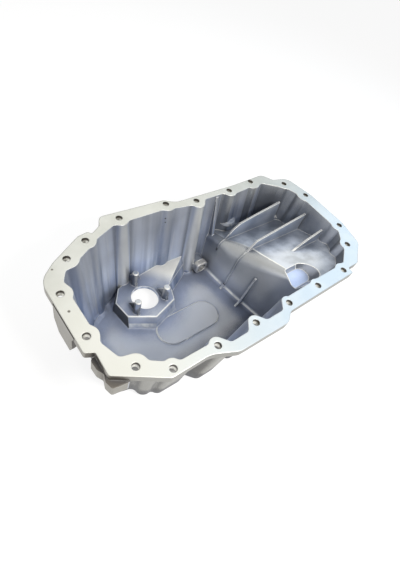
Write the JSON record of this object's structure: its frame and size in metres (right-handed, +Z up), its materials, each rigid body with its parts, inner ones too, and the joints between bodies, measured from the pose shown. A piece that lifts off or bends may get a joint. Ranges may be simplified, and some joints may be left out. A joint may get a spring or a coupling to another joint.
{
  "type": "engine oil pan",
  "caption": "Cast aluminium engine oil pan with a wavy wall round the rail bolts, a deep sump, a ribbed sloping shelf, a level-sensor platform and a drain plug",
  "frame": {"origin": "middle of the footprint, on the plane of the flat bottom that the pan rests on", "axes": "+X along the engine from the gearbox end to the shelf, +Y across it from the near bolt row to the drain plug's side, +Z up out of the open rail face"},
  "size_m": [0.4046, 0.2214, 0.1225],
  "materials": {
    "cast_aluminium": "as-cast satin inside and outside, with a machined rail face",
    "plug_steel": "plated steel, satin",
    "washer_aluminium": "soft sheet, satin"
  },
  "bodies": {
    "root": {"oil_pan_casting": "cast_aluminium", "drain_plug": "plug_steel", "plug_washer": "washer_aluminium"}
  },
  "joints": []
}
